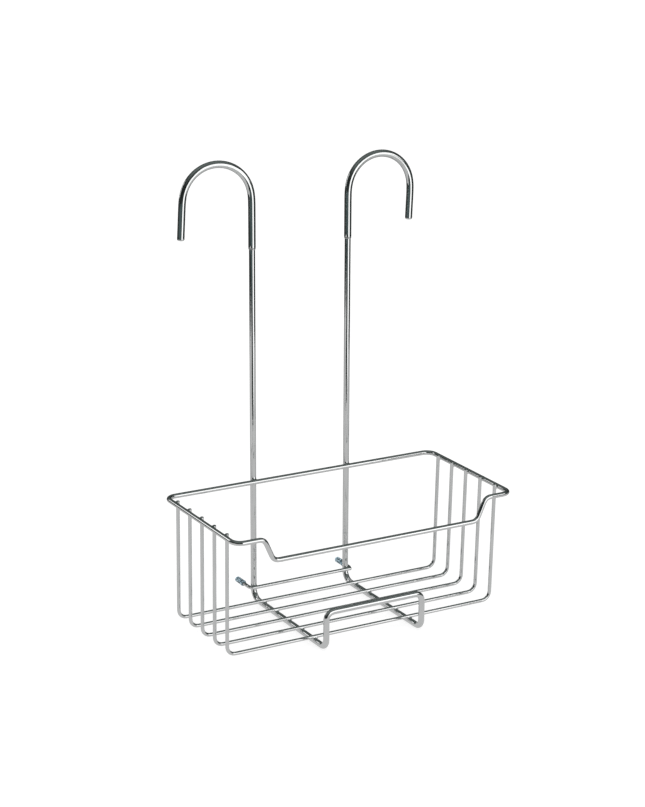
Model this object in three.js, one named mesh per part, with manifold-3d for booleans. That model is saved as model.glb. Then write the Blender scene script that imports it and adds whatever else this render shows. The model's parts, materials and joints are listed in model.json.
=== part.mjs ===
// Hanging wire shower caddy, in millimetres, +Z up.
// X runs along the wall, +Y points to the wall, and the origin is under the middle of the whole
// caddy, level with the underside of its two runners. Inside the caddy's group, the back rail of
// the basket lies on Y = 0 and everything but the hooks is symmetrical about X = 0.
import * as THREE from "three";
import { mergeVertices } from "three/addons/utils/BufferGeometryUtils.js";
import Module from "manifold-3d";

const wasm = await Module();
wasm.setup();

// Wires
const frameWire = { diameter: 5, sides: 16 }; // uprights, runners and lip, one bent wire
const rimWire = { diameter: 4, sides: 16 }; // the closed rim of the basket
const basketWire = { diameter: 3, sides: 12 }; // the U-shaped ribs of the basket
const spacerWire = { diameter: 3, sides: 12 }; // the cross bar with the two wall pegs
const hookWire = { diameter: 6, sides: 16 };
const touchGap = 0.3; // between pieces that touch
const weldSink = 0.8; // how far one welded wire is pressed into the other

// Basket
const rimWidth = 253.4; // between the centrelines of the side rails
const rimDepth = 124.6; // between the centrelines of the back and front rails
const rimHeight = 106.4; // centreline above the ground
const rimCornerRadius = 8;
const frontDip = 19; // how far the front rail drops between its two shoulders
const shoulderLength = 24.6; // from the corner of the rim to the start of the dip
const dipSlope = 66; // degrees from level
const dipBendRadius = 6;
const ribCount = 5;
const firstRibSetback = 14.6; // from the back rail to the first rib, measured at the bottom
const ribPitch = 21.8;
const ribForwardLean = 2.7; // the rib's top stands this much further forward than its bottom
const ribInwardLean = 0.6; // each leg leans in by this much on its way down
const ribProud = 0.1; // a leg's top end stands this much above the rail
const ribBendRadius = 7;

// Frame
const uprightSpacing = 89; // between the centrelines of the two uprights
const uprightTop = 303; // above the ground
const heelRadius = 9; // from upright to runner
const toeRadius = 7; // from runner to lip post
const runnerReach = 120.8; // from the back rail to the centreline of the lip posts
const lipHeight = 32.9; // centreline above the ground
const lipCornerRadius = 6;

// Wall pegs and their caps
const spacerHeight = 12.4; // centreline of the cross bar above the ground
const pegLength = 23.2; // from the cross bar to the peg's end
const capDiameter = 5;
const capLength = 11.5;
const capEndWall = 1.6;
const capEdgeRadius = 1;
const capMouthChamfer = 0.3;
const capSides = 16;

// Swivel joints and hooks
const washerThickness = 1;
const washerDiameter = 6;
const studDiameter = 3;
const studLength = 20;
const studChamfer = 0.4;
const studClearance = 0.3; // round the stud, in the upright and in the hook
const boreRun = 1; // how much deeper each bore is than the stud goes
const hookRadius = 29.3; // centreline of the arch
const hookTipRounding = 1.4;
const hookFootRounding = 0.4;

// The two hooks differ a little. The stem and the free leg are straight lengths on either side of the
// arch. The splay is how far the leg opens outwards and the turn is the swivel from +X towards +Y.
const leftHook = { stem: 40.9, leg: 32.1, splay: 2.9, turn: 172.4 };
const rightHook = { stem: 38.1, leg: 27.7, splay: -2.4, turn: -2 };

// Arcs take one step for each of these angles.
const bendStep = THREE.MathUtils.degToRad(12);
const archStep = THREE.MathUtils.degToRad(7.5);
const roundingSteps = 4;

const chrome = { color: 0xc9cccd, roughness: 0.12, metalness: 1 };
const hookChrome = { color: 0xb4bab8, roughness: 0.12, metalness: 1 };
const zinc = { color: 0xa9acae, roughness: 0.35, metalness: 1 };
const softPlastic = { color: 0x9fb6c2, roughness: 0.3, metalness: 0 };

const radiusOf = (wire) => wire.diameter / 2;
const clearOf = (wireA, wireB) => radiusOf(wireA) + radiusOf(wireB) + touchGap;
const weldedTo = (wireA, wireB) => radiusOf(wireA) + radiusOf(wireB) - weldSink;
const vector = (x, y, z) => new THREE.Vector3(x, y, z);

// A wire's centreline: straight runs between corners, with an arc of the corner's bend radius in each.
// The stations are given, not spread evenly, so that the straight runs stay single pieces.
class BentPath extends THREE.Curve {
  constructor(corners, step = bendStep) {
    super();
    this.stations = [];
    const first = corners[0].at;
    this.addStation(first, corners[1].at.clone().sub(first).normalize());
    for (let i = 1; i < corners.length - 1; i++) {
      this.addBend(corners[i - 1].at, corners[i], corners[i + 1].at, step);
    }
    const last = corners.at(-1).at;
    this.addStation(last, last.clone().sub(corners.at(-2).at).normalize());
  }

  addStation(point, tangent) {
    const previous = this.stations.at(-1);
    if (previous && previous.point.distanceTo(point) < 1e-4) return;
    this.stations.push({ point, tangent });
  }

  addBend(before, corner, after, step) {
    const inward = corner.at.clone().sub(before).normalize();
    const outward = after.clone().sub(corner.at).normalize();
    const turn = inward.angleTo(outward);
    const start = corner.at.clone().addScaledVector(inward, -corner.bend * Math.tan(turn / 2));
    const toCentre = outward.clone().addScaledVector(inward, -outward.dot(inward)).normalize();
    const steps = Math.ceil(turn / step);
    for (let k = 0; k <= steps; k++) {
      const angle = (turn * k) / steps;
      const point = start
        .clone()
        .addScaledVector(inward, corner.bend * Math.sin(angle))
        .addScaledVector(toCentre, corner.bend * (1 - Math.cos(angle)));
      const tangent = inward
        .clone()
        .multiplyScalar(Math.cos(angle))
        .addScaledVector(toCentre, Math.sin(angle));
      this.addStation(point, tangent);
    }
  }

  // Puts extra stations on the last straight run, at these distances from its end.
  refineEnd(distances) {
    const end = this.stations.pop();
    for (const distance of distances) {
      this.addStation(end.point.clone().addScaledVector(end.tangent, -distance), end.tangent);
    }
    this.stations.push(end);
    return this;
  }

  // The same on the first straight run.
  refineStart(distances) {
    this.reverse().refineEnd(distances).reverse();
    return this;
  }

  reverse() {
    this.stations.reverse();
    for (const station of this.stations) station.tangent = station.tangent.clone().negate();
    return this;
  }

  stationAt(u) {
    return this.stations[Math.round(u * (this.stations.length - 1))];
  }

  getPointAt(u) {
    return this.stationAt(u).point.clone();
  }

  getTangentAt(u) {
    return this.stationAt(u).tangent.clone();
  }
}

const corner = (x, y, z, bend = 0) => ({ at: vector(x, y, z), bend });

// A regular polygon with a flat square to each axis of the section.
function sectionOf(wire) {
  const points = [];
  for (let k = 0; k < wire.sides; k++) {
    const angle = ((k + 0.5) * 2 * Math.PI) / wire.sides;
    points.push(new THREE.Vector2(Math.cos(angle), Math.sin(angle)).multiplyScalar(radiusOf(wire)));
  }
  return new THREE.Shape(points);
}

function sweep(path, wire) {
  return new THREE.ExtrudeGeometry(sectionOf(wire), {
    extrudePath: path,
    steps: path.stations.length - 1,
  });
}

// A wire bent into a closed loop: the sweep without its two end lids, which coincide.
function sweepLoop(path, wire) {
  const swept = sweep(path, wire);
  const sides = swept.groups.find((group) => group.materialIndex === 1);
  const all = swept.getAttribute("position").array;
  const kept = all.slice(sides.start * 3, (sides.start + sides.count) * 3);
  return new THREE.BufferGeometry().setAttribute("position", new THREE.BufferAttribute(kept, 3));
}

const roundingDistances = (rounding) =>
  Array.from({ length: roundingSteps }, (_, k) => {
    const angle = (k * Math.PI) / 2 / roundingSteps;
    return rounding * (1 - Math.sin(angle));
  });

// Rounds the edge of the hook's wire at one of its ends, by drawing its last rings in.
function roundEnd(geometry, end, inward, rounding) {
  const position = geometry.getAttribute("position");
  const radius = radiusOf(hookWire);
  for (let i = 0; i < position.count; i++) {
    const point = new THREE.Vector3().fromBufferAttribute(position, i);
    const height = point.clone().sub(end).dot(inward);
    const middle = end.clone().addScaledVector(inward, height);
    const isNearEnd = height < rounding && point.distanceTo(middle) < hookWire.diameter;
    if (!isNearEnd) continue;
    const drop = rounding - Math.max(height, 0);
    const share = (radius - rounding + Math.sqrt(rounding ** 2 - drop ** 2)) / radius;
    point.lerpVectors(middle, point, share);
    position.setXYZ(i, point.x, point.y, point.z);
  }
}

function toSolid(geometry) {
  const bare = geometry.index ? geometry.toNonIndexed() : geometry.clone();
  bare.deleteAttribute("normal");
  bare.deleteAttribute("uv");
  const merged = mergeVertices(bare, 1e-4);
  return new wasm.Manifold(
    new wasm.Mesh({
      numProp: 3,
      vertProperties: merged.getAttribute("position").array,
      triVerts: new Uint32Array(merged.index.array),
    }),
  );
}

function toGeometry(solid) {
  const mesh = solid.getMesh();
  return new THREE.BufferGeometry()
    .setAttribute("position", new THREE.BufferAttribute(mesh.vertProperties, 3))
    .setIndex(new THREE.BufferAttribute(mesh.triVerts, 1));
}

// A turned solid whose axis is +Z, from a profile of [radius, height] points.
function turned(profile, sides) {
  const points = profile.map(([radius, height]) => new THREE.Vector2(radius, height));
  return new THREE.LatheGeometry(points, sides, Math.PI / sides).rotateX(Math.PI / 2);
}

// Takes the seats of the welds out of a wire, where it is pressed into its neighbours.
function seatOn(geometry, neighbours) {
  const seated = neighbours.reduce((solid, neighbour) => solid.subtract(neighbour), toSolid(geometry));
  return toGeometry(seated);
}

// The same wire, thicker by the gap that its neighbours keep.
const withGap = (wire) => ({ ...wire, diameter: wire.diameter + 2 * touchGap });

// The bore is wide enough for its flats to clear the stud.
function drill(geometry, x, y, fromHeight, toHeight) {
  const sides = frameWire.sides;
  const radius = (studDiameter / 2 + studClearance) / Math.cos(Math.PI / sides);
  const bore = turned([[0, fromHeight], [radius, fromHeight], [radius, toHeight], [0, toHeight]], sides);
  bore.translate(x, y, 0);
  return toGeometry(toSolid(geometry).subtract(toSolid(bore)));
}

// Places that several pieces share
const runnerHeight = radiusOf(frameWire) * Math.cos(Math.PI / frameWire.sides);
const uprightX = uprightSpacing / 2;
const uprightY = weldedTo(rimWire, frameWire);
const lipY = -runnerReach;
const washerBottom = uprightTop + touchGap;
const hookFoot = washerBottom + washerThickness + touchGap;
const studBottom = (uprightTop + hookFoot - studLength) / 2;

// One wire: left upright, runner, lip and back up the right-hand side.
function framePath() {
  const side = (x) => [
    corner(x, uprightY, uprightTop),
    corner(x, uprightY, runnerHeight, heelRadius),
    corner(x, lipY, runnerHeight, toeRadius),
    corner(x, lipY, lipHeight, lipCornerRadius),
  ];
  return new BentPath([...side(-uprightX), ...side(uprightX).reverse()]);
}

function frameGeometry() {
  let geometry = sweep(framePath(), frameWire);
  for (const x of [-uprightX, uprightX]) {
    geometry = drill(geometry, x, uprightY, studBottom - boreRun, uprightTop + boreRun);
  }
  return geometry;
}

// The rim starts and ends in the middle of the back rail.
function rimPath() {
  const half = rimWidth / 2;
  const lowHeight = rimHeight - frontDip;
  const dipRun = frontDip / Math.tan(THREE.MathUtils.degToRad(dipSlope));
  const shoulderX = half - shoulderLength;
  return new BentPath([
    corner(0, 0, rimHeight),
    corner(half, 0, rimHeight, rimCornerRadius),
    corner(half, -rimDepth, rimHeight, rimCornerRadius),
    corner(shoulderX, -rimDepth, rimHeight, dipBendRadius),
    corner(shoulderX - dipRun, -rimDepth, lowHeight, dipBendRadius),
    corner(dipRun - shoulderX, -rimDepth, lowHeight, dipBendRadius),
    corner(-shoulderX, -rimDepth, rimHeight, dipBendRadius),
    corner(-half, -rimDepth, rimHeight, rimCornerRadius),
    corner(-half, 0, rimHeight, rimCornerRadius),
    corner(0, 0, rimHeight),
  ]);
}

const frameSeat = toSolid(sweep(framePath(), withGap(frameWire)));
const rimSeat = toSolid(sweepLoop(rimPath(), withGap(rimWire)));

// A U-shaped rib: it rests on the runners and stands inside the side rails.
function ribGeometry(index) {
  const bottomY = -(firstRibSetback + index * ribPitch);
  const topY = bottomY - ribForwardLean;
  const topX = rimWidth / 2 - weldedTo(rimWire, basketWire);
  const bottomX = topX - ribInwardLean;
  const top = rimHeight + radiusOf(rimWire) + ribProud;
  const bottom = runnerHeight + weldedTo(frameWire, basketWire);
  const path = new BentPath([
    corner(-topX, topY, top),
    corner(-bottomX, bottomY, bottom, ribBendRadius),
    corner(bottomX, bottomY, bottom, ribBendRadius),
    corner(topX, topY, top),
  ]);
  return seatOn(sweep(path, basketWire), [frameSeat, rimSeat]);
}

// The cross bar lies in front of the uprights, and its ends wrap round them as pegs for the wall.
const spacerY = uprightY - weldedTo(frameWire, spacerWire);
const pegX = uprightX + clearOf(frameWire, spacerWire);
const pegEndY = spacerY + pegLength;

function spacerGeometry() {
  const wrapRadius = clearOf(frameWire, spacerWire);
  const path = new BentPath([
    corner(-pegX, pegEndY, spacerHeight),
    corner(-pegX, spacerY, spacerHeight, wrapRadius),
    corner(pegX, spacerY, spacerHeight, wrapRadius),
    corner(pegX, pegEndY, spacerHeight),
  ]);
  return seatOn(sweep(path, spacerWire), [frameSeat]);
}

// A soft cap on a peg, closed at the wall end; its axis is +Z and its closed end is at Z = 0.
function capGeometry() {
  const outer = capDiameter / 2;
  const inner = (radiusOf(spacerWire) + touchGap) / Math.cos(Math.PI / capSides);
  const profile = [[0, -capEndWall], [inner, -capEndWall], [inner, -capLength]];
  profile.push([outer - capMouthChamfer, -capLength], [outer, capMouthChamfer - capLength]);
  for (let k = 0; k <= roundingSteps; k++) {
    const angle = (k * Math.PI) / 2 / roundingSteps;
    const radius = outer - capEdgeRadius * (1 - Math.cos(angle));
    profile.push([radius, capEdgeRadius * (Math.sin(angle) - 1)]);
  }
  profile.push([0, 0]);
  return turned(profile, capSides);
}

// A hook in its own frame: the swivel axis is the Z axis, its foot is at Z = 0, and it reaches to +X.
function hookGeometry(hook) {
  const archTop = hook.stem + hookRadius;
  const splay = THREE.MathUtils.degToRad(hook.splay);
  const outward = vector(Math.sin(splay), 0, -Math.cos(splay));
  const archEnd = vector(hookRadius * (1 + Math.cos(splay)), 0, hook.stem + hookRadius * Math.sin(splay));
  const leg = archEnd.clone().addScaledVector(outward, hook.leg);
  const reach = hookRadius * (1 + Math.tan((Math.PI / 2 - splay) / 2));
  const foot = corner(0, 0, 0);
  const tip = corner(leg.x, 0, leg.z);
  const path = new BentPath(
    [
      foot,
      corner(0, 0, archTop, hookRadius),
      corner(reach, 0, archTop, hookRadius),
      tip,
    ],
    archStep,
  );
  path.refineEnd(roundingDistances(hookTipRounding));
  path.refineStart(roundingDistances(hookFootRounding));
  const geometry = sweep(path, hookWire);
  roundEnd(geometry, tip.at, outward.clone().negate(), hookTipRounding);
  roundEnd(geometry, foot.at, vector(0, 0, 1), hookFootRounding);
  const studTop = studBottom + studLength - hookFoot;
  return drill(geometry, 0, 0, -boreRun, studTop + boreRun);
}

function washerGeometry() {
  const outer = washerDiameter / 2;
  const inner = (studDiameter / 2 + studClearance) / Math.cos(Math.PI / hookWire.sides);
  const profile = [[inner, 0], [outer, 0], [outer, washerThickness], [inner, washerThickness], [inner, 0]];
  return turned(profile, hookWire.sides);
}

function studGeometry() {
  const radius = studDiameter / 2;
  const profile = [
    [0, 0],
    [radius - studChamfer, 0],
    [radius, studChamfer],
    [radius, studLength - studChamfer],
    [radius - studChamfer, studLength],
    [0, studLength],
  ];
  return turned(profile, hookWire.sides);
}

const caddy = new THREE.Group();

function add(name, geometry, finish) {
  const mesh = new THREE.Mesh(geometry, new THREE.MeshStandardMaterial(finish));
  mesh.name = name;
  caddy.add(mesh);
  return mesh;
}

add("frame_wire", frameGeometry(), chrome);
add("rim_wire", seatOn(sweepLoop(rimPath(), rimWire), [frameSeat]), chrome);
for (let i = 0; i < ribCount; i++) add(`basket_rib_${i + 1}`, ribGeometry(i), chrome);
add("wall_spacer_wire", spacerGeometry(), chrome);

for (const [side, sign, shape] of [["left", -1, leftHook], ["right", 1, rightHook]]) {
  const cap = add(`${side}_wall_cap`, capGeometry(), softPlastic);
  cap.rotation.x = -Math.PI / 2;
  cap.position.set(sign * pegX, pegEndY + touchGap + capEndWall, spacerHeight);

  const axis = [sign * uprightX, uprightY];
  add(`${side}_washer`, washerGeometry(), zinc).position.set(...axis, washerBottom);
  add(`${side}_stud`, studGeometry(), zinc).position.set(...axis, studBottom);
  const hook = add(`${side}_hook`, hookGeometry(shape), hookChrome);
  hook.position.set(...axis, hookFoot);
  hook.rotation.z = THREE.MathUtils.degToRad(shape.turn);
}

const middle = new THREE.Box3().setFromObject(caddy, true).getCenter(vector(0, 0, 0));
caddy.position.set(-middle.x, -middle.y, 0);

export default caddy;
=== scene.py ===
# A chrome wire shower caddy: the looks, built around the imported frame. Metres, +Z up.
import json
import math

import bpy
import numpy as np
from mathutils import Matrix, Vector, noise


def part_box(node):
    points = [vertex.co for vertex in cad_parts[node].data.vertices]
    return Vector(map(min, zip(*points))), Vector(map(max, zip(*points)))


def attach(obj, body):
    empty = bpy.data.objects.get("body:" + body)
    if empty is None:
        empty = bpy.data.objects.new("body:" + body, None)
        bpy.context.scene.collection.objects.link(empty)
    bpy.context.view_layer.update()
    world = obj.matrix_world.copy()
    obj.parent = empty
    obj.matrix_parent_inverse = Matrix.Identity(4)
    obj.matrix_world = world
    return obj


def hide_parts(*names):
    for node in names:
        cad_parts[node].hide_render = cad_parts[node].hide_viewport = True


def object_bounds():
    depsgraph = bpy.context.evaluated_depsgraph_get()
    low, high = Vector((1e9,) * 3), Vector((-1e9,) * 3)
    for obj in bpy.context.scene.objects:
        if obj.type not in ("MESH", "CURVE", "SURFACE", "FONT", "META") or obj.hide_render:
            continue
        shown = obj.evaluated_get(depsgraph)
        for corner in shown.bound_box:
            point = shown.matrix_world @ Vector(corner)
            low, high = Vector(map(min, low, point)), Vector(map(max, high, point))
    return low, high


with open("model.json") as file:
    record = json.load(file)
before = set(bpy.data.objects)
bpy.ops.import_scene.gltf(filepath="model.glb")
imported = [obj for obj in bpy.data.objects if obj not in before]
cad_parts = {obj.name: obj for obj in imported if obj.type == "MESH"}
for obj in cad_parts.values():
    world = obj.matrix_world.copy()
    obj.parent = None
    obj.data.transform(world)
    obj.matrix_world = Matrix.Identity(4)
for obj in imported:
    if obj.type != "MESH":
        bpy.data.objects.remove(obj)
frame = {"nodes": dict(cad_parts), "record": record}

cad_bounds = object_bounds()

MM = 0.001
UP = Vector((0, 0, 1))

# ---------------------------------------------------------------- sizes that the frame's boxes don't give

FRAME_RADIUS = 2.5 * MM
RIM_RADIUS = 2.0 * MM
RIB_RADIUS = 1.5 * MM
HOOK_RADIUS = 3.0 * MM
CAD_SIDES = {FRAME_RADIUS: 16, RIM_RADIUS: 16, RIB_RADIUS: 12, HOOK_RADIUS: 16}

HEEL_BEND = 9 * MM
TOE_BEND = 7 * MM
LIP_HEIGHT = 32.9 * MM
LIP_BEND = 6 * MM
RIM_CORNER_BEND = 8 * MM
SHOULDER_LENGTH = 24.6 * MM
DIP_SLOPE = math.radians(66)
DIP_BEND = 6 * MM
RIB_BEND = 7 * MM
PEG_BEND = 4.3 * MM
PEG_STRAIGHT = 5 * MM  # of the cross bar, each way from an upright
ARCH_RADIUS = 29.3 * MM
HOOK_LEG = {"left": 32.1 * MM, "right": 27.7 * MM}  # the free leg's straight length
HOOK_SPLAY = {"left": math.radians(2.9), "right": math.radians(-2.4)}
HOOK_TURN = {"left": math.radians(172.4), "right": math.radians(-2)}
RIB_INWARD_LEAN = 0.6 * MM
CAP_END_WALL = 1.6 * MM
JOINT_CLOSED = 0.25 * MM  # how much of the gap on each side of a washer its neighbour fills
WIRE_END_ROUNDING = 0.3 * MM
RIB_END_ROUNDING = 0.5 * MM
HOOK_FOOT_ROUNDING = 0.4 * MM
HOOK_TIP_ROUNDING = 1.4 * MM
RING_BORE = 1.8 * MM  # radius
RING_EDGE = 0.25 * MM

# ---------------------------------------------------------------- bent wires

BEND_STEP = math.radians(3)
EASE_STEP = 0.7 * MM
STRAIGHT_STEP = 4 * MM
LEAST_TURN = math.radians(0.4)  # a ring is left out where the wire turns less than this
FRAME_EASE, RIM_EASE, RIB_EASE, PEG_EASE, HOOK_EASE = 1.6 * MM, 1.4 * MM, 1.2 * MM, 0.8 * MM, 5 * MM
WIRE_SIDES = 40
HOOK_SIDES = 48
TURNED_SIDES = 48
EDGE_STEPS = 6
END_FACE_SHARES = 0.66, 0.33  # the rings inside a wire's flat end, as shares of its radius


def flat_of(radius):
    """The distance from a CAD wire's centreline to its flats."""
    return radius * math.cos(math.pi / CAD_SIDES[radius])


def bent_path(corners, ease, closed=False):
    """Points along straight runs and round bends that ease in and out of each other.

    Each corner is (point, bend radius). The ease is how far along the wire a change of bend spreads.
    """
    points = []
    for i, (at, bend) in enumerate(corners):
        if not bend:
            points.append(at.copy())
            continue
        before, after = corners[i - 1][0], corners[(i + 1) % len(corners)][0]
        inward, outward = (at - before).normalized(), (after - at).normalized()
        turn = inward.angle(outward)
        side = (outward - inward * outward.dot(inward)).normalized()
        start = at - inward * bend * math.tan(turn / 2)
        steps = max(3, math.ceil(turn / BEND_STEP))
        for k in range(steps + 1):
            angle = turn * k / steps
            points.append(start + inward * bend * math.sin(angle) + side * bend * (1 - math.cos(angle)))
    return thinned(eased(points, ease, closed), closed)


def eased(points, ease, closed):
    """Evenly spaced points on the same line, each averaged with its neighbours. Open ends stay put."""
    line = np.array([*points, points[0]] if closed else points)
    run = np.concatenate([[0], np.cumsum(np.linalg.norm(np.diff(line, axis=0), axis=1))])
    count = math.ceil(run[-1] / EASE_STEP)
    stops = np.linspace(0, run[-1], count + 1)
    line = np.stack([np.interp(stops, run, line[:, axis]) for axis in range(3)], axis=1)
    reach = math.ceil(3 * ease / EASE_STEP)
    weights = np.exp(-0.5 * (np.arange(-reach, reach + 1) * EASE_STEP / ease) ** 2)
    weights /= weights.sum()
    if closed:
        line = line[:-1]
        padded = np.concatenate([line[-reach:], line, line[:reach]])
    else:
        before = 2 * line[0] - line[reach:0:-1]
        after = 2 * line[-1] - line[-2 : -reach - 2 : -1]
        padded = np.concatenate([before, line, after])
    smooth = [np.convolve(padded[:, axis], weights, "valid") for axis in range(3)]
    return [Vector(p) for p in np.stack(smooth, axis=1)]


def thinned(points, closed):
    """Leaves out the points of straight runs that no ring needs to stand on."""
    kept = [points[0]]
    last = (points[1] - points[0]).normalized()
    for i in range(1, len(points) - (0 if closed else 1)):
        heading = (points[(i + 1) % len(points)] - points[i]).normalized()
        is_bent = heading.angle(last, 0.0) > LEAST_TURN
        if is_bent or (points[i] - kept[-1]).length > STRAIGHT_STEP:
            kept.append(points[i])
            last = heading
    return kept if closed else kept + [points[-1]]


def tangents_of(points, closed):
    count = len(points)
    tangents = []
    for i in range(count):
        before = points[i - 1] if closed or i else points[0]
        after = points[(i + 1) % count] if closed or i < count - 1 else points[-1]
        tangents.append((after - before).normalized())
    return tangents


def rings_along(points, radius, closed, sides):
    """One ring of vectors for each point, turned as little as possible from one to the next."""
    tangents = tangents_of(points, closed)
    across = tangents[0].orthogonal().normalized()
    frames = []
    for i, tangent in enumerate(tangents):
        if i:
            across = tangents[i - 1].rotation_difference(tangent) @ across
        across = (across - tangent * across.dot(tangent)).normalized()
        frames.append((across, tangent.cross(across)))
    twist = 0.0
    if closed:
        last = tangents[-1].rotation_difference(tangents[0]) @ frames[-1][0]
        twist = math.atan2(last.dot(frames[0][1]), last.dot(frames[0][0]))
    rings = []
    for i, (point, (u, v)) in enumerate(zip(points, frames)):
        offset = -twist * i / len(points)
        angles = [offset + 2 * math.pi * k / sides for k in range(sides)]
        rings.append([point + (u * math.cos(a) + v * math.sin(a)) * radius for a in angles])
    return rings, tangents


def end_rings(ring, centre, outward, radius, rounding):
    """Rings that round a wire's end off; ring is the wire's own last ring, centre its middle."""
    rings = []
    for k in range(EDGE_STEPS + 1):
        angle = math.pi / 2 * k / EDGE_STEPS
        share = (radius - rounding * (1 - math.cos(angle))) / radius
        lift = outward * rounding * math.sin(angle)
        rings.append([centre + lift + (p - centre) * share for p in ring])
    rim, middle = rings[-1], centre + outward * rounding
    for share in END_FACE_SHARES:
        rings.append([middle + (p - middle) * share for p in rim])
    return rings, middle


class Surface:
    """Collects vertices and faces for one mesh."""

    def __init__(self):
        self.vertices, self.faces = [], []

    def add_rings(self, rings, closed=False, start_cap=None, end_cap=None):
        base, sides = len(self.vertices), len(rings[0])
        for ring in rings:
            self.vertices += ring
        for i in range(len(rings) if closed else len(rings) - 1):
            a, b = base + i * sides, base + (i + 1) % len(rings) * sides
            for k in range(sides):
                n = (k + 1) % sides
                self.faces.append((a + k, a + n, b + n, b + k))
        last = base + (len(rings) - 1) * sides
        for cap, first, flip in ((start_cap, base, True), (end_cap, last, False)):
            if cap is None:
                continue
            tip = len(self.vertices)
            self.vertices.append(cap)
            for k in range(sides):
                n = (k + 1) % sides
                order = (first + n, first + k, tip) if flip else (first + k, first + n, tip)
                self.faces.append(order)

    def build(self, name, material, body, nodes):
        """Makes the piece, which rides on the body and takes the place of the CAD nodes."""
        mesh = bpy.data.meshes.new(name)
        mesh.from_pydata([tuple(v) for v in self.vertices], [], self.faces)
        mesh.validate()
        mesh.shade_smooth()
        mesh.materials.append(material)
        piece = bpy.data.objects.new(name, mesh)
        bpy.context.scene.collection.objects.link(piece)
        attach(piece, body)
        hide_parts(*nodes)
        return piece


def add_wire(surface, points, radius, closed=False, roundings=(0, 0), sides=WIRE_SIDES):
    """Adds a round wire along the points. Its rounded ends stay within its length."""
    if closed:
        rings, _ = rings_along(points, radius, True, sides)
        surface.add_rings(rings, closed=True)
        return
    points = [p.copy() for p in points]
    for end, inner, rounding in ((0, 1, roundings[0]), (-1, -2, roundings[1])):
        points[end] += (points[inner] - points[end]).normalized() * rounding
    rings, tangents = rings_along(points, radius, False, sides)
    head, start_cap = end_rings(rings[0], points[0], -tangents[0], radius, roundings[0])
    tail, end_cap = end_rings(rings[-1], points[-1], tangents[-1], radius, roundings[1])
    surface.add_rings(head[:0:-1] + rings + tail[1:], start_cap=start_cap, end_cap=end_cap)


# ---------------------------------------------------------------- welds

WELD_BLEND = 1.5 * MM
WELD_SINK = 0.015 * MM
WELD_COLUMNS, WELD_ROWS = 72, 36
WELD_MARCH = 36  # steps outwards, before each is narrowed down
WELD_HALVINGS = 12
WELD_REACH = 4.5 * MM
WELD_ROW_POWER = 1.6  # crowds the rows near the equator, where the wires part
WELD_UNEVENNESS, WELD_NOISE_SCALE = 0.35, 2.5
WELD_STRAIGHT = 20 * MM  # how far the wires of a weld are taken as straight
WELD_UNDER_TOP = 0.1 * MM  # how far a weld stays under the end of a rib's leg
HEAT_CORE, HEAT_REACH = 2 * MM, 7 * MM  # full dulling within the first, none beyond the second
welds = []  # every weld's middle, which the chrome's material reads as a mask


def distance_to(points, wire):
    """How far points lie outside a wire: a capsule from wire a to wire b."""
    start, end, radius = np.array(wire[0]), np.array(wire[1]), wire[2]
    along = end - start
    share = np.clip((points - start) @ along / (along @ along), 0, 1)
    return np.linalg.norm(points - start - share[:, None] * along, axis=1) - radius


def add_weld(surface, middle, pole, wires, reach, seed):
    """A fused fillet between two wires: their smooth union, seen from its middle as a star shape."""
    welds.append(middle)
    equator = pole.orthogonal().normalized()
    third = pole.cross(equator)

    directions = [-pole]
    for row in range(1, WELD_ROWS):
        share = 2 * row / WELD_ROWS - 1
        latitude = math.pi / 2 * math.copysign(abs(share) ** WELD_ROW_POWER, share)
        for column in range(WELD_COLUMNS):
            longitude = 2 * math.pi * column / WELD_COLUMNS
            level = equator * math.cos(longitude) + third * math.sin(longitude)
            directions.append(level * math.cos(latitude) + pole * math.sin(latitude))
    directions.append(pole.copy())
    uneven = [noise.noise(d * WELD_NOISE_SCALE + Vector((seed, 0, 0))) for d in directions]
    blend = WELD_BLEND * (1 + WELD_UNEVENNESS * np.array(uneven))
    directions = np.array(directions)

    def outside(distances):
        points = np.array(middle) + directions * distances[:, None]
        first, second = (distance_to(points, wire) for wire in wires)
        overlap = np.maximum(blend - np.abs(first - second), 0) / blend
        return np.minimum(first, second) - overlap**2 * blend / 4 + WELD_SINK > 0

    low, high = np.zeros(len(directions)), np.full(len(directions), reach)
    found = np.zeros(len(directions), bool)
    for k in range(1, WELD_MARCH + 1):
        distances = np.full(len(directions), reach * k / WELD_MARCH)
        fresh = outside(distances) & ~found
        low[fresh], high[fresh] = distances[fresh] - reach / WELD_MARCH, distances[fresh]
        found |= fresh
    low[~found] = reach
    for _ in range(WELD_HALVINGS):
        half = (low + high) / 2
        beyond = outside(half)
        high = np.where(beyond, half, high)
        low = np.where(beyond, low, half)
    points = [Vector(p) for p in np.array(middle) + directions * low[:, None]]
    rings = [points[1 + i * WELD_COLUMNS : 1 + (i + 1) * WELD_COLUMNS] for i in range(WELD_ROWS - 1)]
    surface.add_rings(rings, start_cap=points[0], end_cap=points[-1])


# ---------------------------------------------------------------- materials


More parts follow.
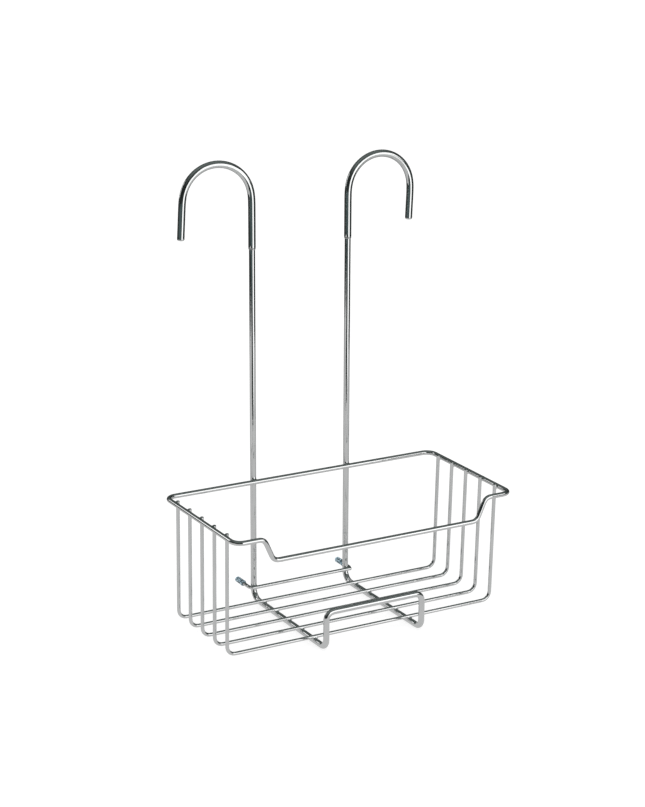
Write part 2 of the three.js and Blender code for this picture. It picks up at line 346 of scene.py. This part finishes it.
class Nodes:
    """Short ways to build a procedural material."""

    def __init__(self, name):
        self.material = bpy.data.materials.new(name)
        self.material.use_nodes = True
        self.tree = self.material.node_tree
        self.shader = self.tree.nodes["Principled BSDF"]
        self.place = self.add("ShaderNodeTexCoord").outputs["Object"]

    def add(self, kind, inputs=None, **settings):
        node = self.tree.nodes.new(kind)
        for key, value in settings.items():
            setattr(node, key, value)
        for key, value in (inputs or {}).items():
            self.feed(node.inputs[key], value)
        return node

    def feed(self, socket, value):
        if isinstance(value, bpy.types.NodeSocket):
            self.tree.links.new(value, socket)
        else:
            socket.default_value = value

    def noise(self, scale, detail=2.0, roughness=0.5, place=None):
        inputs = {"Vector": place or self.place, "Scale": scale, "Detail": detail, "Roughness": roughness}
        return self.add("ShaderNodeTexNoise", inputs).outputs["Fac"]

    def stretched(self, x, y, z):
        return self.add("ShaderNodeMapping", {"Vector": self.place, "Scale": (x, y, z)}).outputs["Vector"]

    def ramp(self, value, low, high, from_low=0.0, from_high=1.0):
        source = {"Value": value, "From Min": from_low, "From Max": from_high}
        return self.add("ShaderNodeMapRange", {**source, "To Min": low, "To Max": high}).outputs["Result"]

    def math(self, operation, a, b):
        return self.add("ShaderNodeMath", {0: a, 1: b}, operation=operation).outputs["Value"]

    def mix(self, share, a, b):
        node = self.add("ShaderNodeMix", data_type="RGBA")
        self.feed(node.inputs["Factor"], share)
        self.feed(node.inputs["A"], a)
        self.feed(node.inputs["B"], b)
        return node.outputs["Result"]

    def attribute(self, name):
        return self.add("ShaderNodeAttribute", attribute_name=name).outputs["Fac"]

    def bump(self, height, strength, distance, normal=None):
        inputs = {"Height": height, "Strength": strength, "Distance": distance}
        if normal:
            inputs["Normal"] = normal
        return self.add("ShaderNodeBump", inputs).outputs["Normal"]

    def set(self, **values):
        for key, value in values.items():
            self.feed(self.shader.inputs[key.replace("_", " ")], value)
        return self.material


def chrome(name, bright, dull):
    """Bright plate with the faint waves of drawn wire; greyer, rougher and pitted where it was welded."""
    n = Nodes(name)
    heat = n.attribute("heat")
    waves = n.noise(260, detail=2)
    grain = n.noise(2600, detail=3)
    blotches = n.noise(900, detail=4, roughness=0.65)
    burnt = n.math("MULTIPLY", heat, n.ramp(blotches, 0.25, 1.0, 0.35, 0.6))
    haze = n.ramp(n.noise(55, detail=3), 0.0, 1.0, 0.35, 0.7)
    clean = n.mix(haze, bright, tuple(0.94 * c for c in bright[:3]) + (1,))
    colour = n.mix(burnt, clean, dull)
    roughness = n.math("ADD", n.ramp(grain, 0.035, 0.085), n.math("MULTIPLY", burnt, 0.22))
    normal = n.bump(waves, 0.5, 0.06 * MM)
    normal = n.bump(blotches, n.ramp(heat, 0.02, 0.5), 0.1 * MM, normal)
    return n.set(Base_Color=colour, Metallic=1.0, Roughness=roughness, Normal=normal)


def zinc():
    """Pale, finely turned metal."""
    n = Nodes("zinc")
    turned = n.noise(1800, place=n.stretched(0.2, 0.2, 4.0))
    colour = n.mix(n.noise(500), (0.60, 0.61, 0.62, 1), (0.72, 0.72, 0.71, 1))
    normal = n.bump(turned, 0.6, 0.08 * MM)
    return n.set(Base_Color=colour, Metallic=1.0, Roughness=n.ramp(turned, 0.28, 0.45), Normal=normal)


def clear_plastic():
    """The soft bluish caps: clear enough to show the peg inside."""
    n = Nodes("clear_bluish_plastic")
    cloud = n.noise(700, detail=3)
    colour = n.mix(cloud, (0.48, 0.66, 0.76, 1), (0.60, 0.76, 0.84, 1))
    normal = n.bump(n.noise(1500, detail=2), 0.25, 0.05 * MM)
    n.set(Base_Color=colour, Roughness=n.ramp(cloud, 0.10, 0.24), Normal=normal)
    return n.set(IOR=1.45, Transmission_Weight=0.85)


CHROME = chrome("chrome_wire", (0.86, 0.87, 0.87, 1), (0.34, 0.35, 0.35, 1))
HOOK_CHROME = chrome("hook_chrome", (0.82, 0.84, 0.835, 1), (0.34, 0.35, 0.35, 1))
ZINC = zinc()
CAP_PLASTIC = clear_plastic()

# ---------------------------------------------------------------- places, from the frame

frame_low, frame_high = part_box("frame_wire")
rim_low, rim_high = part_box("rim_wire")
spacer_low, spacer_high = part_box("wall_spacer_wire")

upright_x = frame_high.x - flat_of(FRAME_RADIUS)
upright_y = frame_high.y - flat_of(FRAME_RADIUS)
upright_top = frame_high.z
runner_z = frame_low.z + flat_of(FRAME_RADIUS)
lip_y = frame_low.y + flat_of(FRAME_RADIUS)
rail_x = rim_high.x - flat_of(RIM_RADIUS)
back_y = rim_high.y - flat_of(RIM_RADIUS)
front_y = rim_low.y + flat_of(RIM_RADIUS)
rim_z = rim_high.z - flat_of(RIM_RADIUS)
dip_z = rim_low.z + flat_of(RIM_RADIUS)
rib_nodes = sorted(name for name in frame["nodes"] if name.startswith("basket_rib_"))

# ---------------------------------------------------------------- pieces


def mirrored(corners):
    """The same corners on the other side of X = 0."""
    return [(Vector((-at.x, at.y, at.z)), bend) for at, bend in corners]


def make_frame():
    side = [
        (Vector((upright_x, upright_y, upright_top + JOINT_CLOSED)), 0),
        (Vector((upright_x, upright_y, runner_z)), HEEL_BEND),
        (Vector((upright_x, lip_y, runner_z)), TOE_BEND),
        (Vector((upright_x, lip_y, LIP_HEIGHT)), LIP_BEND),
    ]
    surface = Surface()
    path = bent_path(mirrored(side) + side[::-1], FRAME_EASE)
    add_wire(surface, path, FRAME_RADIUS, roundings=(WIRE_END_ROUNDING, WIRE_END_ROUNDING))
    return surface.build("frame_tube", CHROME, "basket_frame", ["frame_wire"])


def make_rim():
    run = (rim_z - dip_z) / math.tan(DIP_SLOPE)
    shoulder = rail_x - SHOULDER_LENGTH
    right = [
        (Vector((rail_x, back_y, rim_z)), RIM_CORNER_BEND),
        (Vector((rail_x, front_y, rim_z)), RIM_CORNER_BEND),
        (Vector((shoulder, front_y, rim_z)), DIP_BEND),
        (Vector((shoulder - run, front_y, dip_z)), DIP_BEND),
    ]
    left = mirrored(right[::-1])
    surface = Surface()
    add_wire(surface, bent_path(right + left, RIM_EASE, closed=True), RIM_RADIUS, closed=True)
    for sign in (-1, 1):
        at = Vector((sign * upright_x, back_y, rim_z))
        rail = straight(at, Vector((1, 0, 0)), RIM_RADIUS)
        upright = straight(Vector((at.x, upright_y, rim_z)), UP, FRAME_RADIUS)
        add_crossing(surface, rail, upright, seed=sign)
    return surface.build("rim_tube", CHROME, "basket_frame", ["rim_wire"])


def straight(at, direction, radius, length=WELD_STRAIGHT):
    """A straight stretch of wire, this long each way from a point."""
    return at - direction * length, at + direction * length, radius


def add_crossing(surface, first, second, seed):
    """A weld where two straight wires cross."""
    p, q = nearest_points(first, second)
    pole = (q - p).normalized()
    middle = ((p + pole * first[2]) + (q - pole * second[2])) / 2
    add_weld(surface, middle, pole, (first, second), WELD_REACH, seed)


def nearest_points(first, second):
    """The points where two crossing wires' centrelines come nearest to each other."""
    a, b = (wire[0] for wire in (first, second))
    u, v = ((wire[1] - wire[0]).normalized() for wire in (first, second))
    gap, slant = a - b, u.dot(v)
    scale = 1 - slant * slant
    along_first = (slant * v.dot(gap) - u.dot(gap)) / scale
    along_second = (v.dot(gap) - slant * u.dot(gap)) / scale
    return a + u * along_first, b + v * along_second


def make_rib(number, node):
    low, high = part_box(node)
    flat = flat_of(RIB_RADIUS)
    bottom_y, top_y = high.y - flat, low.y + flat
    top_x, bottom_z, top_z = high.x - flat, low.z + flat, high.z
    bottom_x = top_x - RIB_INWARD_LEAN
    right = [(Vector((bottom_x, bottom_y, bottom_z)), RIB_BEND), (Vector((top_x, top_y, top_z)), 0)]
    surface = Surface()
    path = bent_path(mirrored(right[::-1]) + right, RIB_EASE)
    add_wire(surface, path, RIB_RADIUS, roundings=(RIB_END_ROUNDING, RIB_END_ROUNDING))
    for sign in (-1, 1):
        bar = straight(Vector((sign * upright_x, bottom_y, bottom_z)), Vector((1, 0, 0)), RIB_RADIUS)
        runner = straight(Vector((sign * upright_x, bottom_y, runner_z)), Vector((0, 1, 0)), FRAME_RADIUS)
        add_crossing(surface, bar, runner, seed=10 * number + sign)
        foot = Vector((sign * bottom_x, bottom_y, bottom_z))
        head = Vector((sign * top_x, top_y, top_z))
        leg = (foot, head + (foot - head).normalized() * (RIB_RADIUS + WELD_UNDER_TOP), RIB_RADIUS)
        rail = straight(Vector((sign * rail_x, top_y, rim_z)), Vector((0, 1, 0)), RIM_RADIUS)
        add_crossing(surface, leg, rail, seed=10 * number + 5 + sign)
    return surface.build(f"rib_tube_{number}", CHROME, "basket_frame", [node])


def make_spacer():
    flat = flat_of(RIB_RADIUS)
    peg_x, bar_y = spacer_high.x - flat, spacer_low.y + flat
    z = (spacer_low.z + spacer_high.z) / 2
    right = [(Vector((peg_x, bar_y, z)), PEG_BEND), (Vector((peg_x, spacer_high.y, z)), 0)]
    surface = Surface()
    path = bent_path(mirrored(right[::-1]) + right, PEG_EASE)
    add_wire(surface, path, RIB_RADIUS, roundings=(WIRE_END_ROUNDING, WIRE_END_ROUNDING))
    for sign in (-1, 1):
        bar = straight(Vector((sign * upright_x, bar_y, z)), Vector((1, 0, 0)), RIB_RADIUS, PEG_STRAIGHT)
        upright = straight(Vector((sign * upright_x, upright_y, z)), UP, FRAME_RADIUS)
        add_crossing(surface, bar, upright, seed=80 + sign)
    return surface.build("spacer_tube", CHROME, "basket_frame", ["wall_spacer_wire"])


def make_hook(side):
    low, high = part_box(f"{side}_hook")
    pivot = next(j for j in frame["record"]["behaviour"]["joints"] if j["child"] == f"{side}_hook")
    turn, splay = HOOK_TURN[side], HOOK_SPLAY[side]
    across = Vector((math.cos(turn), math.sin(turn), 0))
    arch_top = Vector((pivot["pos_m"][0], pivot["pos_m"][1], high.z - flat_of(HOOK_RADIUS)))
    foot = Vector((arch_top.x, arch_top.y, low.z - JOINT_CLOSED))
    second_corner = arch_top + across * ARCH_RADIUS * (1 + math.tan((math.pi / 2 - splay) / 2))
    arch_end = arch_top - UP * ARCH_RADIUS * (1 - math.sin(splay))
    arch_end += across * ARCH_RADIUS * (1 + math.cos(splay))
    tip = arch_end + (across * math.sin(splay) - UP * math.cos(splay)) * HOOK_LEG[side]
    corners = [(foot, 0), (arch_top, ARCH_RADIUS), (second_corner, ARCH_RADIUS), (tip, 0)]
    surface = Surface()
    roundings = (HOOK_FOOT_ROUNDING, HOOK_TIP_ROUNDING)
    add_wire(surface, bent_path(corners, HOOK_EASE), HOOK_RADIUS, roundings=roundings, sides=HOOK_SIDES)
    hook = f"{side}_hook"
    return surface.build(f"{hook}_tube", HOOK_CHROME, hook, [hook])


def lathe(profile, centre, axis):
    """The rings of a turned surface, from (radius, height) points along the axis."""
    u = axis.orthogonal().normalized()
    v = axis.cross(u)
    angles = [2 * math.pi * k / TURNED_SIDES for k in range(TURNED_SIDES)]
    spokes = [u * math.cos(a) + v * math.sin(a) for a in angles]
    return [[centre + axis * height + spoke * radius for spoke in spokes] for radius, height in profile]


def arc(centre, radius, start, end, steps):
    """Profile points round a centre, angles in degrees."""
    angles = [math.radians(start + (end - start) * k / steps) for k in range(steps + 1)]
    return [(centre[0] + radius * math.cos(a), centre[1] + radius * math.sin(a)) for a in angles]


def make_cap(side):
    """A soft sleeve with a rolled lip at its mouth and a rounded closed end at the wall."""
    low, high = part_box(f"{side}_wall_cap")
    centre = Vector(((low.x + high.x) / 2, low.y, (low.z + high.z) / 2))
    length = high.y - low.y
    outer = (high.z - low.z) / 2
    inner = RIB_RADIUS + 0.02 * MM
    lip, edge = 0.25 * MM, 0.9 * MM
    collar, neck, middle = outer + 0.1 * MM, outer - 0.05 * MM, outer - 0.02 * MM
    profile = [(inner, length - CAP_END_WALL), (inner, 3 * lip)]
    profile += arc((inner + lip, lip), lip, 180, 270, 4)
    profile += arc((collar - lip, lip), lip, -90, 0, 4)
    profile += [(collar, 4 * lip), (neck, 7 * lip), (middle, length / 2)]
    profile += arc((outer - edge, length - edge), edge, 0, 90, 8)
    surface = Surface()
    axis = Vector((0, 1, 0))
    bottom = centre + axis * (length - CAP_END_WALL)
    surface.add_rings(lathe(profile, centre, axis), start_cap=bottom, end_cap=centre + axis * length)
    return surface.build(f"{side}_cap", CAP_PLASTIC, "basket_frame", [f"{side}_wall_cap"])


def make_washer(side):
    """A flat ring with rounded edges."""
    low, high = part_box(f"{side}_washer")
    centre = Vector(((low.x + high.x) / 2, (low.y + high.y) / 2, low.z))
    outer, thickness, bore, edge = (high.x - low.x) / 2, high.z - low.z, RING_BORE, RING_EDGE
    profile = [(bore, edge)] + arc((bore + edge, edge), edge, 180, 270, 4)
    profile += arc((outer - edge, edge), edge, -90, 0, 4)
    profile += arc((outer - edge, thickness - edge), edge, 0, 90, 4)
    profile += arc((bore + edge, thickness - edge), edge, 90, 180, 4)[:-1]
    surface = Surface()
    surface.add_rings(lathe(profile[::-1], centre, UP), closed=True)
    return surface.build(f"{side}_ring", ZINC, "basket_frame", [f"{side}_washer"])


def mark_heat(piece):
    """Stores how near each vertex is to a weld, for the chrome's dulling."""
    count = len(piece.data.vertices)
    places = np.zeros(count * 3)
    piece.data.vertices.foreach_get("co", places)
    places = places.reshape(-1, 3)
    nearest = np.full(count, 1.0)
    for weld in welds:
        nearest = np.minimum(nearest, np.linalg.norm(places - np.array(weld), axis=1))
    heat = np.clip(1 - (nearest - HEAT_CORE) / (HEAT_REACH - HEAT_CORE), 0, 1)
    attribute = piece.data.attributes.new("heat", "FLOAT", "POINT")
    attribute.data.foreach_set("value", heat.astype(np.float32))


chrome_pieces = [make_frame(), make_rim(), make_spacer()]
chrome_pieces += [make_rib(i + 1, node) for i, node in enumerate(rib_nodes)]
for side in ("left", "right"):
    chrome_pieces.append(make_hook(side))
    make_cap(side)
    make_washer(side)
    frame["nodes"][f"{side}_stud"].data.materials.clear()
    frame["nodes"][f"{side}_stud"].data.materials.append(ZINC)
for piece in chrome_pieces:
    mark_heat(piece)

# ---------------------------------------------------------------- camera

CAMERA_YAW, CAMERA_PITCH, CAMERA_ROLL = math.radians(29.446), math.radians(16.769), math.radians(0.257)
CAMERA_AIM = Vector((0.0230, 0.0571, 0.1630))
CAMERA_DISTANCE = 1.8329
CAMERA_LENS, CAMERA_SENSOR = 121.80, 36.0  # millimetres, the sensor's along the image's width

ahead = Vector((math.sin(CAMERA_YAW), math.cos(CAMERA_YAW), 0))
rightward = Vector((math.cos(CAMERA_YAW), -math.sin(CAMERA_YAW), 0))
looking = ahead * math.cos(CAMERA_PITCH) - UP * math.sin(CAMERA_PITCH)


def make_camera():
    lens = bpy.data.cameras.new("camera")
    lens.sensor_fit = "HORIZONTAL"
    lens.sensor_width = CAMERA_SENSOR
    lens.lens = CAMERA_LENS
    lens.clip_start, lens.clip_end = 0.05, 60
    camera = bpy.data.objects.new("camera", lens)
    top = rightward.cross(looking)
    side = rightward * math.cos(CAMERA_ROLL) + top * math.sin(CAMERA_ROLL)
    top = side.cross(looking)
    turn = Matrix((side, top, -looking)).transposed()
    camera.matrix_world = Matrix.Translation(CAMERA_AIM - looking * CAMERA_DISTANCE) @ turn.to_4x4()
    bpy.context.scene.collection.objects.link(camera)
    bpy.context.scene.camera = camera


make_camera()

# ---------------------------------------------------------------- stage and light

FLOOR_HALF = 12.0
FLOOR_DROP = 0.1 * MM  # under the wires' lowest line
TABLE_FRONT, TABLE_LEFT, TABLE_RIGHT, TABLE_BACK = 0.47, 0.92, 0.76, 0.70  # edges from the middle
TABLE_WING_RIGHT, TABLE_WING_FRONT = -0.45, 0.72  # the table's left part comes further forward
TABLE_GLOW, TABLE_BACK_GLOW = 0.55, 0.26
TABLE_FADE_START, TABLE_FADE_END = 0.02, 0.42
ROOM_FLOOR_LEFT, ROOM_FLOOR_RIGHT, ROOM_FLOOR_FRONT, ROOM_FLOOR_BACK = -2.5, 0.2, -2.5, -0.95
ROOM_FLOOR_COLOUR, ROOM_FLOOR_GLOW = (0.72, 0.98, 1.0), 0.11
ROOM_COLOUR = (0.86, 1.0, 0.96)
ROOM_DARK, ROOM_BRIGHT = 0.012, 0.08
ROOM_BLOTCH_SCALE = 1.6
ROOM_BLOTCH_LOW, ROOM_BLOTCH_HIGH = 0.35, 0.7  # the noise values that are darkest and brightest
CEILING_START, CEILING_FULL = 0.45, 0.95  # how steeply up, as the Z of a direction
CEILING_GLOW = 0.13
SOFT_LIGHT = 0.9


def emission(name, colour, strength):
    material = bpy.data.materials.new(name)
    material.use_nodes = True
    tree = material.node_tree
    tree.nodes.clear()
    output = tree.nodes.new("ShaderNodeOutputMaterial")
    glow = tree.nodes.new("ShaderNodeEmission")
    glow.inputs["Color"].default_value = (*colour, 1)
    glow.inputs["Strength"].default_value = strength
    tree.links.new(glow.outputs["Emission"], output.inputs["Surface"])
    return material


def map_range(tree, value, from_low, from_high, low, high):
    """Spreads a value that runs between the first two sizes over the last two."""
    node = tree.nodes.new("ShaderNodeMapRange")
    sizes = {"From Min": from_low, "From Max": from_high, "To Min": low, "To Max": high}
    for key, size in sizes.items():
        node.inputs[key].default_value = size
    tree.links.new(value, node.inputs["Value"])
    return node.outputs["Result"]


def pale_floor():
    """White paper: it glows a little, so that only the closest shadows show. Its underside is clear."""
    material = bpy.data.materials.new("pale_floor")
    material.use_nodes = True
    tree = material.node_tree
    shader = tree.nodes["Principled BSDF"]
    shader.inputs["Base Color"].default_value = (0.5, 0.5, 0.5, 1)
    shader.inputs["Roughness"].default_value = 1.0
    shader.inputs["Specular IOR Level"].default_value = 0.0
    shader.inputs["Emission Color"].default_value = (1, 1, 1, 1)
    shader.inputs["Emission Strength"].default_value = 0.72
    clear = tree.nodes.new("ShaderNodeBsdfTransparent")
    geometry = tree.nodes.new("ShaderNodeNewGeometry")
    mix = tree.nodes.new("ShaderNodeMixShader")
    tree.links.new(geometry.outputs["Backfacing"], mix.inputs["Fac"])
    tree.links.new(shader.outputs["BSDF"], mix.inputs[1])
    tree.links.new(clear.outputs["BSDF"], mix.inputs[2])
    tree.links.new(mix.outputs["Shader"], tree.nodes["Material Output"].inputs["Surface"])
    return material


def stage_sheet(name, corners, material):
    mesh = bpy.data.meshes.new(name)
    mesh.from_pydata([tuple(c) for c in corners], [], [(0, 1, 2, 3)])
    mesh.materials.append(material)
    sheet = bpy.data.objects.new(name, mesh)
    bpy.context.scene.collection.objects.link(sheet)
    return sheet


def only_in_reflections(item):
    item.visible_camera = item.visible_diffuse = item.visible_shadow = False
    item.visible_transmission = False


def from_camera(along_right, along_ahead, z):
    """A place given as the camera sees it, from under the caddy's middle."""
    return rightward * along_right + ahead * along_ahead + UP * z


def level(left, right, front, back, z):
    """The corners of a level sheet, as the camera sees it."""
    places = ((left, front), (right, front), (right, back), (left, back))
    return [from_camera(across, forward, z) for across, forward in places]


def table_glow():
    """The table top's light, which fades towards the back."""
    material = emission("table_glow", (1, 1, 1), TABLE_GLOW)
    tree = material.node_tree
    place = tree.nodes.new("ShaderNodeTexCoord")
    depth = tree.nodes.new("ShaderNodeVectorMath")
    depth.operation = "DOT_PRODUCT"
    depth.inputs[1].default_value = ahead
    tree.links.new(place.outputs["Object"], depth.inputs[0])
    ends = (TABLE_FADE_START, TABLE_FADE_END, TABLE_GLOW, TABLE_BACK_GLOW)
    fade = map_range(tree, depth.outputs["Value"], *ends)
    tree.links.new(fade, tree.nodes["Emission"].inputs["Strength"])
    return material


def make_floor():
    z = cad_bounds[0].z - FLOOR_DROP
    corners = [Vector((x * FLOOR_HALF, y * FLOOR_HALF, z)) for x, y in ((-1, -1), (1, -1), (1, 1), (-1, 1))]
    floor = stage_sheet("floor", corners, pale_floor())
    floor.visible_glossy = False
    glow = table_glow()
    top = level(-TABLE_LEFT, TABLE_RIGHT, -TABLE_FRONT, TABLE_BACK, z)
    wing = level(-TABLE_LEFT, TABLE_WING_RIGHT, -TABLE_WING_FRONT, -TABLE_FRONT, z)
    room = level(ROOM_FLOOR_LEFT, ROOM_FLOOR_RIGHT, ROOM_FLOOR_FRONT, ROOM_FLOOR_BACK, z)
    dim = emission("room_floor", ROOM_FLOOR_COLOUR, ROOM_FLOOR_GLOW)
    sheets = (("table_top", top, glow), ("table_wing", wing, glow), ("room_floor", room, dim))
    for name, corners, material in sheets:
        only_in_reflections(stage_sheet(name, corners, material))


def softbox(name, bearing, distance, width, low, high, strength):
    """An upright lit card. Its bearing is clockwise from straight ahead of the camera, in degrees."""
    angle = math.radians(bearing)
    right, forward = math.sin(angle) * distance, math.cos(angle) * distance
    middle = from_camera(right, forward, 0)
    side = UP.cross(middle).normalized() * width / 2
    corners = [middle - side + UP * low, middle + side + UP * low]
    corners += [middle + side + UP * high, middle - side + UP * high]
    only_in_reflections(stage_sheet(name, corners, emission(name, (1, 1, 1), strength)))


def make_world():
    """White to the camera, soft light on what is matt, and a dim room in the chrome."""
    world = bpy.data.worlds.new("studio")
    bpy.context.scene.world = world
    world.use_nodes = True
    tree = world.node_tree
    tree.nodes.clear()
    output = tree.nodes.new("ShaderNodeOutputWorld")
    path = tree.nodes.new("ShaderNodeLightPath")
    place = tree.nodes.new("ShaderNodeTexCoord")
    blotches = tree.nodes.new("ShaderNodeTexNoise")
    blotches.inputs["Scale"].default_value = ROOM_BLOTCH_SCALE
    blotches.inputs["Detail"].default_value = 1.0
    tree.links.new(place.outputs["Generated"], blotches.inputs["Vector"])
    span = (ROOM_BLOTCH_LOW, ROOM_BLOTCH_HIGH, ROOM_DARK, ROOM_BRIGHT)
    walls = map_range(tree, blotches.outputs["Fac"], *span)
    height = tree.nodes.new("ShaderNodeSeparateXYZ")
    tree.links.new(place.outputs["Generated"], height.inputs["Vector"])
    ceiling = map_range(tree, height.outputs["Z"], CEILING_START, CEILING_FULL, 0.0, CEILING_GLOW)
    both = tree.nodes.new("ShaderNodeMath")
    tree.links.new(walls, both.inputs[0])
    tree.links.new(ceiling, both.inputs[1])
    room = tree.nodes.new("ShaderNodeBackground")
    room.inputs["Color"].default_value = (*ROOM_COLOUR, 1)
    tree.links.new(both.outputs["Value"], room.inputs["Strength"])
    soft = tree.nodes.new("ShaderNodeBackground")
    soft.inputs["Strength"].default_value = SOFT_LIGHT
    white = tree.nodes.new("ShaderNodeBackground")
    white.inputs["Strength"].default_value = 1.0
    by_gloss = tree.nodes.new("ShaderNodeMixShader")
    tree.links.new(path.outputs["Is Glossy Ray"], by_gloss.inputs["Fac"])
    tree.links.new(soft.outputs["Background"], by_gloss.inputs[1])
    tree.links.new(room.outputs["Background"], by_gloss.inputs[2])
    by_camera = tree.nodes.new("ShaderNodeMixShader")
    tree.links.new(path.outputs["Is Camera Ray"], by_camera.inputs["Fac"])
    tree.links.new(by_gloss.outputs["Shader"], by_camera.inputs[1])
    tree.links.new(white.outputs["Background"], by_camera.inputs[2])
    tree.links.new(by_camera.outputs["Shader"], output.inputs["Surface"])


make_floor()
softbox("softbox_front_right", bearing=138, distance=1.3, width=1.0, low=-0.4, high=1.0, strength=1.35)
softbox("softbox_far_right", bearing=109, distance=1.3, width=0.50, low=0.45, high=0.90, strength=1.6)
softbox("softbox_back_left", bearing=-65, distance=0.95, width=0.25, low=0.32, high=0.72, strength=1.4)
make_world()
bpy.context.scene.view_settings.view_transform = "Standard"
